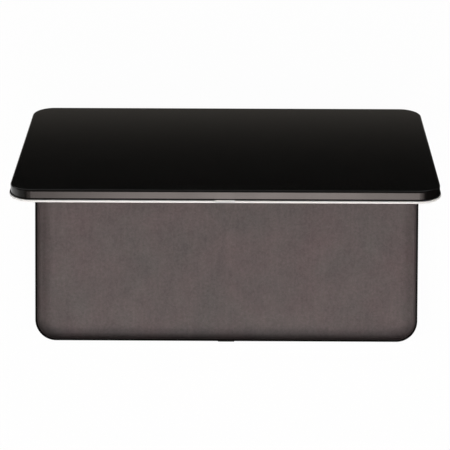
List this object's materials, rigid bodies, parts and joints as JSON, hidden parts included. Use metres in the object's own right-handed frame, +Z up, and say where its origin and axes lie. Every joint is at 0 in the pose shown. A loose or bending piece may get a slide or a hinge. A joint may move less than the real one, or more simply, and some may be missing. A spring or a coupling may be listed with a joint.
{
  "type": "hinged palette case",
  "caption": "Slim flat palette case: a shallow pressed metal tray and a hinged metal lid with turned-out rims, a white sealing ring, a finger nick and two barrel hinges.",
  "frame": {"origin": "centre of the tray's underside, which the case rests on", "axes": "+X to the right along the long side, +Y from the front catch to the hinges, +Z up out of the tray"},
  "size_m": [0.2004, 0.1218, 0.1186],
  "materials": {
    "tray_lacquer": "satin charcoal lacquer",
    "lid_lacquer": "glossy black lacquer",
    "seal": "soft white silicone",
    "hinge_leaf": "satin black lacquer",
    "pin_steel": "plain drawn steel"
  },
  "bodies": {
    "base": {"base_tray": "tray_lacquer", "base_leaf_left": "hinge_leaf", "base_leaf_right": "hinge_leaf", "hinge_pin_left": "pin_steel", "hinge_pin_right": "pin_steel", "base_rivets": "pin_steel"},
    "lid": {"lid_shell": "lid_lacquer", "lid_seal": "seal", "lid_leaf_left": "hinge_leaf", "lid_leaf_right": "hinge_leaf", "lid_rivets": "pin_steel"}
  },
  "joints": [
    {"name": "lid_hinge", "type": "hinge", "parent": "base", "child": "lid", "pos_m": [0, 0.05895, 0.0076], "axis": [-1, 0, 0], "range_deg": [-70, 110]}
  ]
}
